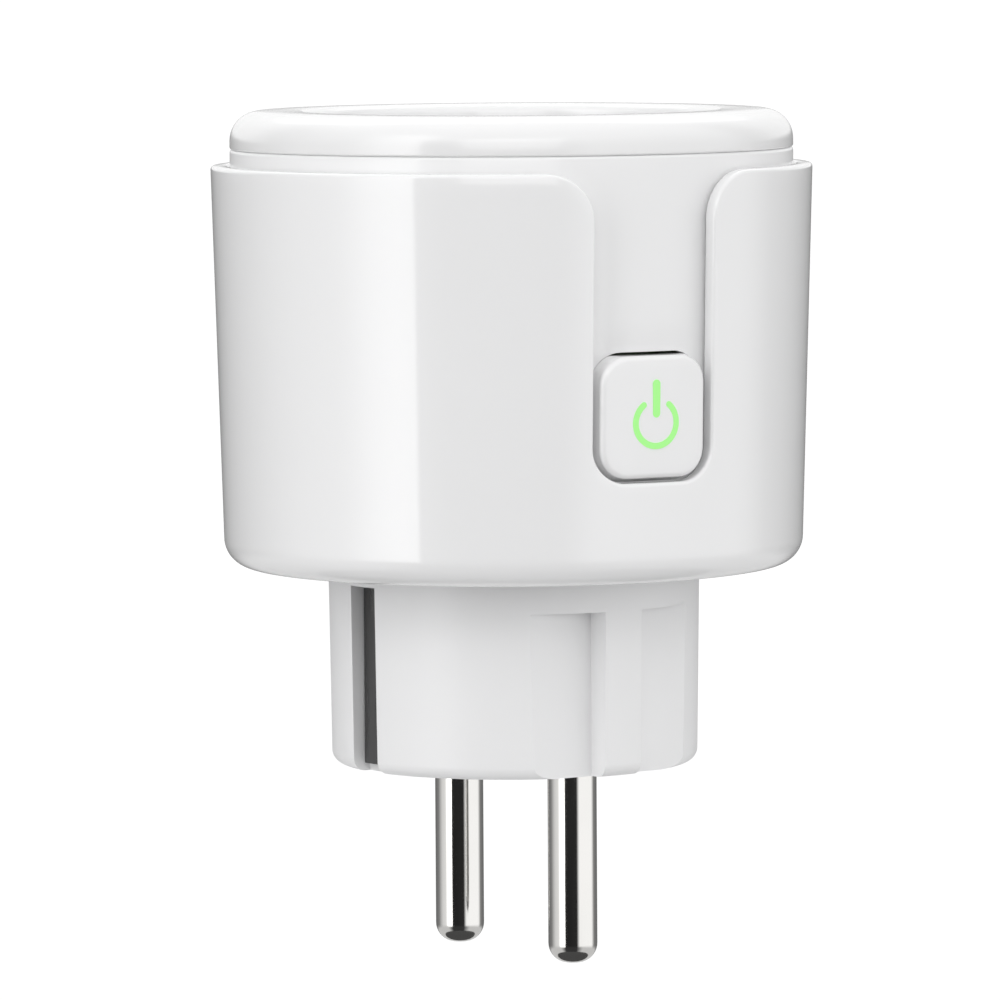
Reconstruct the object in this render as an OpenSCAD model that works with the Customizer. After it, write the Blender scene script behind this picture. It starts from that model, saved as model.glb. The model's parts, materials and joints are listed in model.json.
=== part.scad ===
// Round earthed smart plug: socket face up, plug pins down.
// The origin is the centre of the plug face, +Z points at the socket face, the pins lie along Y.

/* [Body] */
// Sleeve diameter at its rim
sleeve_top_d = 59; // [50:0.1:72]
// Sleeve diameter just above its bottom corner
sleeve_low_d = 56.9; // [55:0.5:69]
// Sleeve height, from shoulder to rim
sleeve_h = 39.3; // [37:0.1:48]
// Sleeve wall
sleeve_wall = 1.8; // [1.4:0.1:2.4]
// Thickness of the sleeve's floor
sleeve_floor = 1.8; // [1.6:0.1:3]
// Rounding of the sleeve's bottom corner
sleeve_corner = 2.8; // [1:0.1:3.2]
// Bevel of the sleeve's rim
rim_bevel = 0.4; // [0.2:0.1:0.6]
// Height of the housing's seam above the sleeve's rim
seam_rise = 1.6; // [1:0.1:4]
// Wall of the inner housing
housing_wall = 1.6; // [1.2:0.1:2.2]
// Clearance between the inner housing and the sleeve
housing_gap = 0.1; // [0.05:0.05:0.2]

/* [Face ring] */
// Height of the face ring
ring_h = 3.7; // [3:0.1:5]
// Rounding of the ring's outer edge
ring_round = 2.9; // [1:0.1:3]
// Rounding of the socket's mouth
mouth_round = 1; // [0.4:0.1:1.5]
// Rounding that forms the seam groove
seam_round = 0.35; // [0.1:0.05:0.5]

/* [Sleeve slot] */
// Width of the slot
slot_w = 12.8; // [11:0.1:16]
// Height of the slot's bottom above the shoulder
slot_rise = 9.8; // [9:0.1:13]
// Rounding of the slot's lower corners
slot_low_round = 3.4; // [1:0.1:4]
// Rounding where the slot opens at the rim
slot_rim_round = 4.6; // [2:0.1:6]
// Turn of the slot and button from the pin line
button_turn = 7.5; // [0:0.5:12]

/* [Button] */
// Gap between the button and the slot's sides
button_gap = 0.75; // [0.35:0.05:0.9]
// Gap between the button and the slot's bottom
button_low_gap = 0.4; // [0.3:0.05:0.8]
// Height of the button
button_h = 11.7; // [10:0.1:14]
// Rounding of the button's corners
button_round = 2.8; // [1:0.1:3.5]
// Depth of the button's face below the sleeve's surface
button_sink = 0.15; // [0:0.05:0.6]
// Button travel
button_travel = 0.5; // [0.3:0.05:0.8]
// Wall of the button
button_wall = 1.3; // [1:0.1:2]
// Outer diameter of the power symbol's ring
icon_d = 5; // [4:0.1:6]
// Line width of the symbol
icon_line = 0.6; // [0.4:0.05:0.9]
// Length of the symbol's bar
icon_bar = 3.6; // [2.5:0.1:4.2]

/* [Plug part] */
// Length of the plug part
plug_len = 19.5; // [18:0.1:22]
// Plug diameter at the shoulder
plug_top_d = 36.5; // [36:0.1:38]
// Plug diameter at the face
plug_tip_d = 36; // [35.5:0.1:37]
// Rounding of the face's edge
plug_edge = 1.3; // [0.5:0.1:1.8]
// Thickness of the plug face
plug_face = 4.2; // [3.5:0.1:6]
// Half the distance between the guide flats
flat_y = 15.6; // [15:0.1:16.5]
// Height of the guide flats
flat_h = 16.1; // [13:0.1:17]
// Width of the rib between the guide flats
rib_w = 4.3; // [3:0.1:6]
// Width of the earth slots
earth_slot_w = 4; // [3.6:0.1:6]
// Distance from the shoulder down to the top of the earth slots
earth_slot_top = 1.3; // [0.5:0.1:3]
// Half the distance between the earth slots' floors
earth_slot_x = 16; // [15.5:0.1:16.5]
// Diameter of the hole for a socket's earth pin
earth_hole_d = 5.2; // [4.9:0.1:6]
// Distance of the earth hole from the centre
earth_hole_x = 10; // [9.5:0.1:10.5]

/* [Pins] */
// Pin diameter
pin_d = 4.8; // [4:0.1:4.8]
// Distance between the pins
pin_pitch = 19; // [16:0.1:23]
// Length of the pins below the plug face
pin_len = 19; // [17:0.1:19]
// Rounding of the pins' tips
pin_round = 1.9; // [0.8:0.1:2.3]

/* [Socket] */
// Diameter of the recess
recess_d = 39.5; // [33:0.1:48]
// Depth of the recess
recess_h = 17.5; // [15:0.1:18]
// Wall of the recess
cup_wall = 1.5; // [1.2:0.1:2]
// Thickness of the recess floor
cup_floor = 2.4; // [2:0.1:3]
// Thickness of the cup's flange
cup_flange = 1.7; // [1.2:0.1:2.2]
// Diameter of the pin holes
socket_hole_d = 5.5; // [5.2:0.1:6]
// Gap between a fitted plug's flats and the guide ribs
guide_gap = 0.4; // [0.2:0.1:0.6]
// Height of the guide ribs
guide_h = 13; // [10:0.1:14]

/* [Shutter] */
// Thickness of the shutter
shutter_t = 1.6; // [1.2:0.1:2]
// Radius of the shutter
shutter_r = 12.5; // [12:0.1:13.5]
// Width of each shutter blade
blade_w = 6; // [5.7:0.1:6.6]
// Gap above and below the shutter
shutter_gap = 0.25; // [0.15:0.05:0.4]
// Radius of the shutter's pivot
pivot_r = 2; // [1.5:0.1:2.5]
// Radial clearance on the pivot
pivot_gap = 0.06; // [0.02:0.01:0.1]

/* [Inside] */
// Thickness of the contact carrier's plate
carrier_t = 2; // [1.6:0.1:3]
// Width of the contact carrier
carrier_w = 16; // [14:0.5:18]
// Thickness of the main board
board_t = 1.6; // [1:0.2:2]
// Thickness of small boards
small_board_t = 1; // [0.8:0.1:1.6]
// Height of the board posts
post_h = 1.5; // [1.5:0.1:3]
// Thickness of brass strips
strip_t = 0.8; // [0.6:0.1:1]
// Thickness of the plug base's flange
flange_t = 2; // [1.6:0.1:3]
// Screw shank diameter
screw_d = 2; // [1.6:0.1:2.4]
// Relay length
relay_l = 19; // [17:0.5:19.5]
// Relay width
relay_w = 9.8; // [9:0.1:10]
// Relay height
relay_h = 14.6; // [12:0.1:15.2]
// Relay armature travel, in degrees
armature_travel = 2; // [1:0.5:2.5]

/* [Hidden] */
$fn = 64;
e = 0.01;

// Levels from the plug face up
shoulder_z = plug_len;
floor_z = shoulder_z + sleeve_floor;
flange_z = floor_z + flange_t;
board_z = flange_z + post_h;
board_top = board_z + board_t;
rim_z = shoulder_z + sleeve_h;
seam_z = rim_z + seam_rise;
top_z = seam_z + ring_h;
recess_z = top_z - recess_h;
cup_z = recess_z - cup_floor;
carrier_top = cup_z - shutter_t - 2 * shutter_gap;
carrier_z = carrier_top - carrier_t;
slot_z = shoulder_z + slot_rise;
lip_z = seam_z - cup_flange;
lip_h = 2;

// Radii
sleeve_top_r = sleeve_top_d / 2;
sleeve_low_r = sleeve_low_d / 2;
corner_z = shoulder_z + sleeve_corner;
ring_r = housing_r(seam_z);
recess_r = recess_d / 2;
cup_r = recess_r + cup_wall;
flange_r = housing_r(floor_z) - housing_wall - 0.2;
board_r = flange_r - 0.8;
contact_x = 2.35;
leaf_t = 0.5;
contact_foot = 0.6;
chimney_w = 2 * (contact_x + leaf_t + 1.4);
chimney_l = 9;
post_r = board_r - 3.2;
post_angles = [45, 135, 225, 315];
pin_y = pin_pitch / 2;
pin_seat = 0.6;
pin_step = 0.3;
collar_r = pin_d / 2 + 0.8;
collar_gap = 0.2;
screw_head_d = screw_d * 1.9;
carrier_screw_y = pin_y + chimney_l / 2 + screw_head_d / 2 + 0.1;

// Button, measured outwards from the axis along its own direction
button_angle = -90 - button_turn;
button_w = slot_w - 2 * button_gap;
button_z = slot_z + button_low_gap;
button_mid = button_z + button_h / 2;
button_port_gap = 0.3;
wing_w = 1.2;
wing_gap = 0.35;
button_back = housing_r(button_z) - housing_wall - wing_gap - 2.2;
switch_r = carrier_screw_y + screw_head_d / 2 + 0.5;
tact_r = switch_r + small_board_t;
tact_h = 3.5;
tact_back = 1.2;
plunger_h = 1;
stem_r = tact_r + tact_h + plunger_h;
plunger_d = 3.2;
stem_d = 2.8;
stem_play = 0.1;
plunger_gap = 0.12;
stem_z = button_z + 4.2;
icon_z = button_mid - 0.55;
icon_gap_half = 38;

// Relay
relay_x = 10.6;
relay_base_t = 1.5;
relay_wall = 0.7;
coil_r = 3;
coil_h = 8.2;

// Earthing
strip_w = earth_slot_w - 0.6;
strap_z = plug_len - 4.1;
link_x = min(cup_r - 0.4, flange_r - strip_t - 0.5);
clip_w = 4;

// Radius of the sleeve's outer surface at height z
function sleeve_r(z) =
    sleeve_low_r + (sleeve_top_r - sleeve_low_r) * (z - corner_z) / (rim_z - corner_z);
// Radius of the inner housing's outer surface at height z
function housing_r(z) = sleeve_r(min(z, rim_z)) - sleeve_wall - housing_gap;

// Square with its corners rounded, centred
module rounded_square(w, h, r) {
    square([w - 2 * r, h], center = true);
    square([w, h - 2 * r], center = true);
    for (x = [-1, 1], y = [-1, 1]) translate([x * (w / 2 - r), y * (h / 2 - r)]) circle(r);
}

// Solid between two radii and two heights
module tube(r1, r2, h) {
    difference() {
        cylinder(r = r2, h = h);
        translate([0, 0, -e]) cylinder(r = r1, h = h + 2 * e);
    }
}

// Block given by its low and high corners
module block(low, high) {
    translate(low) cube(high - low);
}

// Extrudes a shape drawn across and up, outwards along the button's direction
module outwards(from, to) {
    rotate([0, 0, button_angle]) translate([from, 0, 0])
        rotate([90, 0, 90]) linear_extrude(to - from) children();
}

// Cone following the sleeve's draft, offset inwards by inset
module draft_cone(low, high, inset) {
    translate([0, 0, low])
        cylinder(r1 = sleeve_r(low) - inset, r2 = sleeve_r(high) - inset, h = high - low);
}

// Rise of the rim's corner arcs, so that they meet the rim at a clear angle
rim_lift = 0.2;

// Outline of the slot, across and up
module slot_shape() {
    r = slot_low_round;
    reach = slot_w / 2 + slot_rim_round;
    translate([-slot_w / 2, slot_z + r]) square([slot_w, rim_z - slot_z]);
    translate([-slot_w / 2 + r, slot_z]) square([slot_w - 2 * r, r + e]);
    for (s = [-1, 1]) translate([s * (slot_w / 2 - r), slot_z + r]) circle(r);
    difference() {
        translate([-reach, rim_z - slot_rim_round]) square([2 * reach, slot_rim_round + 1]);
        for (s = [-1, 1]) translate([s * reach, rim_z - slot_rim_round + rim_lift]) circle(slot_rim_round);
    }
}

// Profile of the sleeve, radius and height
module sleeve_profile() {
    inner_low = sleeve_r(floor_z) - sleeve_wall;
    inner_top = sleeve_top_r - sleeve_wall;
    difference() {
        union() {
            polygon([
                [0, corner_z], [sleeve_low_r, corner_z],
                [sleeve_r(rim_z - rim_bevel), rim_z - rim_bevel],
                [sleeve_top_r - rim_bevel, rim_z], [0, rim_z]
            ]);
            translate([0, shoulder_z]) square([sleeve_low_r - sleeve_corner, sleeve_corner + e]);
            intersection() {
                translate([sleeve_low_r - sleeve_corner, corner_z]) circle(sleeve_corner);
                translate([0, shoulder_z]) square([sleeve_low_r, sleeve_corner]);
            }
        }
        polygon([
            [-1, floor_z], [inner_low, floor_z], [inner_top, rim_z],
            [inner_top, rim_z + 1], [-1, rim_z + 1]
        ]);
        translate([-1, shoulder_z - 1]) square([plug_top_d / 2 + 0.1 + 1, sleeve_floor + 2]);
    }
}

module outer_sleeve() {
    color("white") difference() {
        rotate_extrude($fn = 128) sleeve_profile();
        outwards(sleeve_low_r - 8, sleeve_top_r + 4) slot_shape();
    }
}

// Opening in the inner housing for the button
module button_port() {
    gap = button_port_gap;
    outwards(sleeve_low_r - 10, sleeve_top_r) translate([0, button_mid])
        rounded_square(button_w + 2 * gap, button_h + 2 * gap, button_round + gap);
}

module inner_housing() {
    lip_r = housing_r(rim_z) - housing_wall;
    color("whitesmoke") difference() {
        union() {
            rotate_extrude($fn = 128) difference() {
                union() {
                    polygon([
                        [0, floor_z], [housing_r(floor_z), floor_z], [housing_r(rim_z), rim_z],
                        [ring_r, seam_z - seam_round], [0, seam_z - seam_round]
                    ]);
                    translate([0, seam_z - 2 * seam_round]) square([ring_r - seam_round, 2 * seam_round]);
                    translate([ring_r - seam_round, seam_z - seam_round]) circle(seam_round);
                }
                polygon([
                    [-1, floor_z - 1], [housing_r(floor_z) - housing_wall, floor_z - 1],
                    [housing_r(floor_z) - housing_wall, floor_z], [housing_r(rim_z) - housing_wall, rim_z],
                    [housing_r(rim_z) - housing_wall, seam_z + 1], [-1, seam_z + 1]
                ]);
            }
            translate([0, 0, lip_z - lip_h])
                tube(min(cup_r + 2, (cup_r + lip_r) / 2), lip_r + 0.3, lip_h);
        }
        button_port();
    }
}

module face_ring() {
    width = ring_r - recess_r;
    outer_round = min(ring_round, width - mouth_round - 0.2);
    color("white") rotate_extrude($fn = 128) {
        translate([recess_r, seam_z + seam_round]) square([width, ring_h - seam_round - outer_round]);
        translate([recess_r, seam_z]) square([width - seam_round, ring_h - mouth_round]);
        translate([recess_r + mouth_round, seam_z]) square([width - mouth_round - outer_round, ring_h]);
        intersection() {
            translate([ring_r - outer_round, top_z - outer_round]) circle(outer_round);
            translate([ring_r - outer_round, top_z - outer_round]) square(outer_round);
        }
        translate([recess_r + mouth_round, top_z - mouth_round]) circle(mouth_round);
        translate([ring_r - seam_round, seam_z + seam_round]) circle(seam_round);
    }
}

// One of the recess's four guide ribs, which sit in the notches beside a plug's own ribs
module guide_rib() {
    low_x = rib_w / 2 + guide_gap + 0.2;
    translate([low_x, flat_y + guide_gap, recess_z - e]) cube([4.6, recess_r - flat_y, guide_h]);
}

module socket_cup() {
    lip_r = housing_r(rim_z) - housing_wall - 0.1;
    boss_r = 2.4;
    slit = clip_w + 0.3;
    color("white") difference() {
        union() {
            translate([0, 0, cup_z]) cylinder(r = cup_r, h = seam_z - cup_z, $fn = 128);
            translate([0, 0, lip_z]) cylinder(r = lip_r, h = cup_flange, $fn = 128);
            for (s = [-1, 1]) translate([0, s * carrier_screw_y, carrier_top])
                cylinder(r = boss_r, h = cup_z - carrier_top + e);
        }
        difference() {
            translate([0, 0, recess_z]) cylinder(r = recess_r, h = recess_h, $fn = 128);
            for (sx = [0, 1], sy = [0, 1]) mirror([sx, 0, 0]) mirror([0, sy, 0]) guide_rib();
        }
        for (s = [-1, 1]) translate([0, s * pin_y, cup_z - 1]) cylinder(d = socket_hole_d, h = cup_floor + 2);
        for (s = [-1, 1]) translate([0, s * carrier_screw_y, carrier_top - 1]) cylinder(d = screw_d, h = 4.2);
        block([-recess_r, -clip_w / 2 - 0.6, cup_z - e], [recess_r, clip_w / 2 + 0.6, cup_z + strip_t]);
        for (s = [-1, 1])
            translate([s * (recess_r - 0.8) - 0.8, -slit / 2, cup_z]) cube([1.6, slit, cup_floor + 1]);
    }
}

// The two slots' worth of material removed for the earth strips
module earth_slots() {
    top = plug_len - earth_slot_top;
    for (s = [0, 1]) mirror([s, 0, 0])
        block([earth_slot_x, -earth_slot_w / 2, -1], [earth_slot_x + 10, earth_slot_w / 2, top]);
}

// The guide flats, cut back on both sides of each rib
module flat_cuts() {
    for (sx = [0, 1], sy = [0, 1]) mirror([sx, 0, 0]) mirror([0, sy, 0])
        block([rib_w / 2, flat_y, -1], [rib_w / 2 + 20, flat_y + 10, flat_h]);
}

module plug_base() {
    cavity_r = earth_slot_x - 1.6;
    post_w = 4.4;
    tail_w = strip_w + 0.1;
    tip_r = plug_tip_d / 2;
    color("white") difference() {
        union() {
            rotate_extrude($fn = 128) difference() {
                union() {
                    polygon([
                        [0, plug_edge], [plug_tip_d / 2, plug_edge],
                        [plug_top_d / 2, plug_len], [plug_top_d / 2, floor_z], [0, floor_z]
                    ]);
                    square([plug_tip_d / 2 - plug_edge, plug_edge + e]);
                    translate([plug_tip_d / 2 - plug_edge, plug_edge]) circle(plug_edge);
                }
                translate([-50, -1]) square([50, floor_z + 2]);
            }
            translate([0, 0, floor_z]) cylinder(r = flange_r, h = flange_t, $fn = 128);
            for (a = post_angles) rotate([0, 0, a]) translate([post_r, 0, flange_z - e])
                cylinder(d = post_w, h = post_h + e);
        }
        earth_slots();
        flat_cuts();
        translate([0, 0, plug_face]) linear_extrude(flange_z) {
            intersection() {
                circle(cavity_r);
                square([2 * cavity_r, 2 * (flat_y - 2)], center = true);
            }
            for (s = [-1, 1]) translate([0, s * pin_y]) circle(collar_r + collar_gap);
        }
        for (s = [-1, 1]) translate([0, s * pin_y, -1]) {
            cylinder(d = pin_d, h = 1 + pin_seat);
            cylinder(d = pin_d - 2 * pin_step, h = plug_face + 2);
        }
        translate([-earth_hole_x, 0, -1]) cylinder(d = earth_hole_d, h = plug_face + 2);
        block([-tip_r, -tail_w / 2, strap_z], [tip_r, tail_w / 2, strap_z + strip_t]);
        for (a = post_angles) rotate([0, 0, a]) translate([post_r, 0, board_z - 3.4])
            cylinder(d = screw_d, h = 5);
    }
}

// Button outline, across and up
module button_outline() {
    translate([0, button_mid]) rounded_square(button_w, button_h, button_round);
}

// Power symbol, across and up: a ring open at the top and a bar
module icon_shape() {
    r = icon_d / 2;
    translate([0, icon_z]) {
        difference() {
            circle(r);
            circle(r - icon_line);
            polygon([[0, 0], [-2 * r * tan(icon_gap_half), 2 * r], [2 * r * tan(icon_gap_half), 2 * r]]);
        }
        translate([-icon_line * 0.65, 0.5]) square([icon_line * 1.3, icon_bar]);
    }
}

// Everything but the button's stem, which presses on the switch plunger
module stem_clear() {
    difference() {
        outwards(0, sleeve_top_r + 5) translate([0, button_mid]) square(60, center = true);
        outwards(stem_r + stem_play, sleeve_top_r + 6) translate([0, stem_z]) circle(stem_d / 2);
    }
}

module button_cap() {
    inner_w = button_w - 2 * button_wall;
    inner_h = button_h - 2 * button_wall;
    front = button_sink + button_wall;
    wing_front = sleeve_wall + housing_gap + housing_wall + wing_gap;
    color("white") difference() {
        union() {
            intersection() {
                outwards(button_back, sleeve_top_r + 4) button_outline();
                draft_cone(button_z - 1, button_z + button_h + 1, button_sink);
            }
            intersection() {
                outwards(button_back, sleeve_top_r) translate([0, button_mid])
                    rounded_square(button_w + 2 * wing_w, button_h, button_round);
                draft_cone(button_z - 1, button_z + button_h + 1, wing_front);
            }
        }
        intersection() {
            outwards(button_back - 1, sleeve_top_r + 4) translate([0, button_mid])
                rounded_square(inner_w, inner_h, button_round - button_wall / 2);
            draft_cone(button_z - 2, button_z + button_h + 2, front);
            stem_clear();
        }
        outwards(sleeve_low_r - 10, sleeve_top_r + 4) icon_shape();
    }
}

module button_icon() {
    color("lime") intersection() {
        outwards(sleeve_low_r - 10, sleeve_top_r + 4) icon_shape();
        difference() {
            draft_cone(button_z - 1, button_z + button_h + 1, button_sink);
            draft_cone(button_z - 2, button_z + button_h + 2, button_sink + button_wall);
        }
    }
}

// One contact pin on the axis: rounded tip, shank with a shoulder at the plug face, neck, collar and rivet stem
module pin() {
    r = pin_d / 2;
    rotate_extrude($fn = 96) difference() {
        union() {
            translate([0, pin_round - pin_len]) square([r, pin_len - pin_round]);
            translate([0, -pin_len]) square([r - pin_round, pin_len]);
            translate([r - pin_round, pin_round - pin_len]) circle(pin_round);
            square([r - pin_step, plug_face]);
            translate([0, plug_face]) square([collar_r, 1.8]);
            square([r - 2 * pin_step, strap_z - 1.5]);
        }
        translate([-10, -pin_len - 1]) square([10, 100]);
    }
}

module live_pin() {
    color("silver") translate([0, -pin_y, 0]) pin();
}

module neutral_pin() {
    color("silver") translate([0, pin_y, 0]) pin();
}

// Earth contact strip on a slot's floor, with a tail through the wall
module earth_strip() {
    top = plug_len - earth_slot_top - 0.3;
    block([earth_slot_x, -strip_w / 2, 0.8], [earth_slot_x + strip_t, strip_w / 2, top]);
    block([earth_slot_x - 3.6, -strip_w / 2, strap_z], [earth_slot_x + e, strip_w / 2, strap_z + strip_t]);
}

module earth_strip_left() {
    color("dimgray") mirror([1, 0, 0]) earth_strip();
}

module earth_strip_right() {
    color("dimgray") earth_strip();
}

module earth_cross_strap() {
    reach = earth_slot_x - 2;
    color("goldenrod") block([-reach, -2.6, strap_z - strip_t], [reach, 2.6, strap_z]);
}

module earth_tube() {
    color("goldenrod") translate([-earth_hole_x, 0, plug_face])
        tube(earth_hole_d / 2, earth_hole_d / 2 + 0.7, strap_z - strip_t - plug_face);
}

module earth_link() {
    foot_x = 8.6;
    level = flange_z + 0.3;
    color("goldenrod") {
        block([link_x, -2, level], [link_x + strip_t, 2, cup_z]);
        block([foot_x, -2, level], [link_x + e, 2, level + strip_t]);
        block([foot_x, -2, strap_z], [foot_x + strip_t, 2, level + e]);
    }
}

// Side view of one earth clip: a strip that bows inwards to press on a plug's earth contact
module clip_shape() {
    base_x = recess_r - 0.9;
    low = recess_z + 1.5;
    mid = recess_z + recess_h * 0.48;
    high = seam_z - 0.6;
    bow = 1.9;
    polygon([
        [base_x - strip_t / 2, cup_z], [base_x - strip_t / 2, low], [base_x - bow, mid],
        [base_x - strip_t / 2, high], [base_x + strip_t / 2, high], [base_x - bow + strip_t, mid],
        [base_x + strip_t / 2, low], [base_x + strip_t / 2, cup_z]
    ]);
}

module earth_bracket() {
    color("silver") {
        for (s = [0, 1]) mirror([s, 0, 0])
            translate([0, clip_w / 2, 0]) rotate([90, 0, 0]) linear_extrude(clip_w) clip_shape();
        block([-recess_r + 0.5, -clip_w / 2, cup_z], [recess_r - 0.5, clip_w / 2, cup_z + strip_t]);
        block([recess_r - 1.6, -clip_w / 2, cup_z - strip_t], [link_x, clip_w / 2, cup_z]);
    }
}

// Width of the sloped edge that a pin pushes on
ramp_w = 1.6;

module shutter_rotor() {
    low = carrier_top + shutter_gap;
    color("lightsteelblue") difference() {
        translate([0, 0, low]) intersection() {
            cylinder(r = shutter_r, h = shutter_t);
            union() {
                cylinder(r = 4.2, h = shutter_t);
                translate([-blade_w / 2, -shutter_r, 0]) cube([blade_w, 2 * shutter_r, shutter_t]);
            }
        }
        translate([0, 0, low - 1]) cylinder(r = pivot_r + pivot_gap, h = shutter_t + 2);
        for (s = [0, 180]) rotate([0, 0, s])
            translate([blade_w / 2 - ramp_w, 4.5, low + shutter_t]) rotate([0, 35, 0]) cube([4, 20, 3]);
    }
}

// Small compression spring between a blade and the carrier's stop
spring_y = 5;
spring_r = 0.55;
spring_wire = 0.16;
spring_turns = 7;
spring_len = 7.5;
stop_w = 1.2;

function spring_point(i, k, steps, sides) =
    let (a = 360 * spring_turns * i / steps, b = 360 * k / sides, r = spring_r + spring_wire * cos(b))
    [spring_wire + (spring_len - 2 * spring_wire) * i / steps + spring_wire * sin(b), r * cos(a), r * sin(a)];

module shutter_spring() {
    steps = spring_turns * 12;
    sides = 8;
    points = [for (i = [0 : steps], k = [0 : sides - 1]) spring_point(i, k, steps, sides)];
    walls = [for (i = [0 : steps - 1], k = [0 : sides - 1], half = [0, 1])
        let (a = i * sides + k, b = i * sides + (k + 1) % sides, c = b + sides, d = a + sides)
        half == 0 ? [a, b, c] : [a, c, d]];
    ends = [[for (k = [sides - 1 : -1 : 0]) k], [for (k = [0 : sides - 1]) steps * sides + k]];
    color("gray") translate([-blade_w / 2 - spring_len, spring_y, carrier_top + shutter_gap + shutter_t / 2])
        polyhedron(points, concat(walls, ends));
}

// One chimney of the carrier, round a contact
module chimney() {
    x = chimney_w / 2;
    y = chimney_l / 2;
    wall = 1;
    difference() {
        block([-x, -y, board_top + contact_foot + 0.3], [x, y, carrier_z + e]);
        block([wall - x, wall - y, 0], [x - wall, y - wall, carrier_z + 1]);
    }
}

module contact_carrier() {
    stop_x = -blade_w / 2 - spring_len;
    stop_y = [spring_y - 1, spring_y + 1];
    stop_top = carrier_top + shutter_gap + shutter_t;
    color("tan") difference() {
        union() {
            translate([0, 0, carrier_z]) intersection() {
                cylinder(r = cup_r - 0.5, h = carrier_t);
                translate([-carrier_w / 2, -cup_r, 0]) cube([carrier_w, 2 * cup_r, carrier_t]);
            }
            for (s = [-1, 1]) translate([0, s * pin_y, 0]) chimney();
            translate([0, 0, carrier_z]) cylinder(r = pivot_r, h = cup_z - carrier_z - 0.05);
            block([stop_x - stop_w, stop_y[0], carrier_z], [stop_x, stop_y[1], stop_top]);
            block([stop_x - stop_w, stop_y[0], carrier_z], [-carrier_w / 2 + 1, stop_y[1], carrier_top]);
        }
        for (s = [-1, 1]) translate([0, 0, carrier_z - 1]) {
            translate([0, s * pin_y, 0]) cylinder(r = contact_x + 0.15, h = carrier_t + 2);
            translate([0, s * carrier_screw_y, 0]) cylinder(d = screw_d, h = carrier_t + 2);
        }
    }
}

// Socket contact: two spring leaves on a foot that is soldered to the board
module contact() {
    top = carrier_z - 0.4;
    for (s = [0, 1]) mirror([s, 0, 0])
        block([contact_x, -2.3, board_top], [contact_x + leaf_t, 2.3, top]);
    block([-contact_x - e, -2.3, board_top], [contact_x + e, 2.3, board_top + contact_foot]);
}

module live_contact() {
    color("orange") translate([0, -pin_y, 0]) contact();
}

module neutral_contact() {
    color("orange") translate([0, pin_y, 0]) contact();
}

// Strip from a pin's stem up through the board
module busbar() {
    level = strap_z - 1.5;
    tab_x = contact_x + leaf_t + 1;
    block([-tab_x - strip_t, -2, level], [2.4, 2, level + strip_t]);
    block([-tab_x - strip_t, -2, level], [-tab_x, 2, board_z]);
    block([-tab_x - strip_t, -0.9, level], [-tab_x, 0.9, board_top + 0.6]);
}

module live_busbar() {
    color("chocolate") translate([0, -pin_y, 0]) busbar();
}

module neutral_busbar() {
    color("chocolate") translate([0, pin_y, 0]) busbar();
}

// Holes that the board and the sheet leave for the busbars
module busbar_holes(w, l, low, high) {
    x = -contact_x - leaf_t - 1 - strip_t / 2;
    for (s = [-1, 1]) block([x - w / 2, s * pin_y - l / 2, low], [x + w / 2, s * pin_y + l / 2, high]);
}

module main_board() {
    color("darkgreen") difference() {
        translate([0, 0, board_z]) cylinder(r = board_r, h = board_t);
        for (a = post_angles) rotate([0, 0, a]) translate([post_r, 0, board_z - 1])
            cylinder(d = screw_d, h = board_t + 2);
        busbar_holes(strip_t + 0.1, 2, board_z - 1, board_top + 1);
        block([link_x - 0.2, -2.3, board_z - 1], [board_r + 5, 2.3, board_top + 1]);
    }
}

module insulating_sheet() {
    sheet_t = 0.3;
    low = board_z - sheet_t;
    color("gold") difference() {
        translate([0, 0, low]) cylinder(r = post_r - 2.8, h = sheet_t);
        busbar_holes(strip_t + 0.4, 4.4, low - 1, low + 1);
    }
}

// Screw with its head's underside at the origin, pointing down
module screw(shank) {
    difference() {
        union() {
            cylinder(d = screw_head_d, h = 1.2);
            translate([0, 0, -shank]) cylinder(d = screw_d, h = shank + e);
        }
        for (a = [0, 90]) rotate([0, 0, a]) translate([-1.1, -0.2, 0.6]) cube([2.2, 0.4, 2]);
    }
}

module board_screws() {
    color("silver") for (a = post_angles)
        rotate([0, 0, a]) translate([post_r, 0, board_top]) screw(board_t + 3);
}

module carrier_screws() {
    color("silver") for (s = [-1, 1])
        translate([0, s * carrier_screw_y, carrier_z]) rotate([180, 0, 0]) screw(carrier_t + 2.8);
}

module relay_base() {
    color("dimgray") translate([relay_x, -relay_l / 2, board_top]) cube([relay_w, relay_l, relay_base_t]);
}

module relay_case() {
    h = relay_h - relay_base_t;
    w = relay_wall;
    color("royalblue") translate([relay_x, -relay_l / 2, board_top + relay_base_t]) difference() {
        cube([relay_w, relay_l, h]);
        translate([w, w, -1]) cube([relay_w - 2 * w, relay_l - 2 * w, h - w + 1]);
    }
}

coil_y = 1;
coil_z = board_top + relay_base_t;
core_r = 1.4;
core_rise = 0.8;
// The armature turns on the yoke's top edge, and rests clear of the core by its travel
yoke_y = 7.6;
yoke_t = 1.2;
yoke_w = 6;
armature_t = 0.9;
armature_z = coil_z + coil_h + core_rise + 0.3 + (yoke_y - coil_y + core_r) * sin(armature_travel);

module relay_coil() {
    mid_x = relay_x + relay_w / 2;
    color("peru") translate([mid_x, coil_y, coil_z]) {
        cylinder(r = coil_r, h = coil_h);
        cylinder(r = core_r, h = coil_h + core_rise);
    }
}

module relay_yoke() {
    mid_x = relay_x + relay_w / 2;
    color("silver")
        block([mid_x - yoke_w / 2, yoke_y - yoke_t, coil_z], [mid_x + yoke_w / 2, yoke_y, armature_z - 0.1]);
}

module relay_armature() {
    mid_x = relay_x + relay_w / 2;
    color("silver")
        block([mid_x - yoke_w / 2, -4.6, armature_z], [mid_x + yoke_w / 2, yoke_y, armature_z + armature_t]);
}

bulk_cap_d = 8;
bulk_cap_h = 12;

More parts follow.
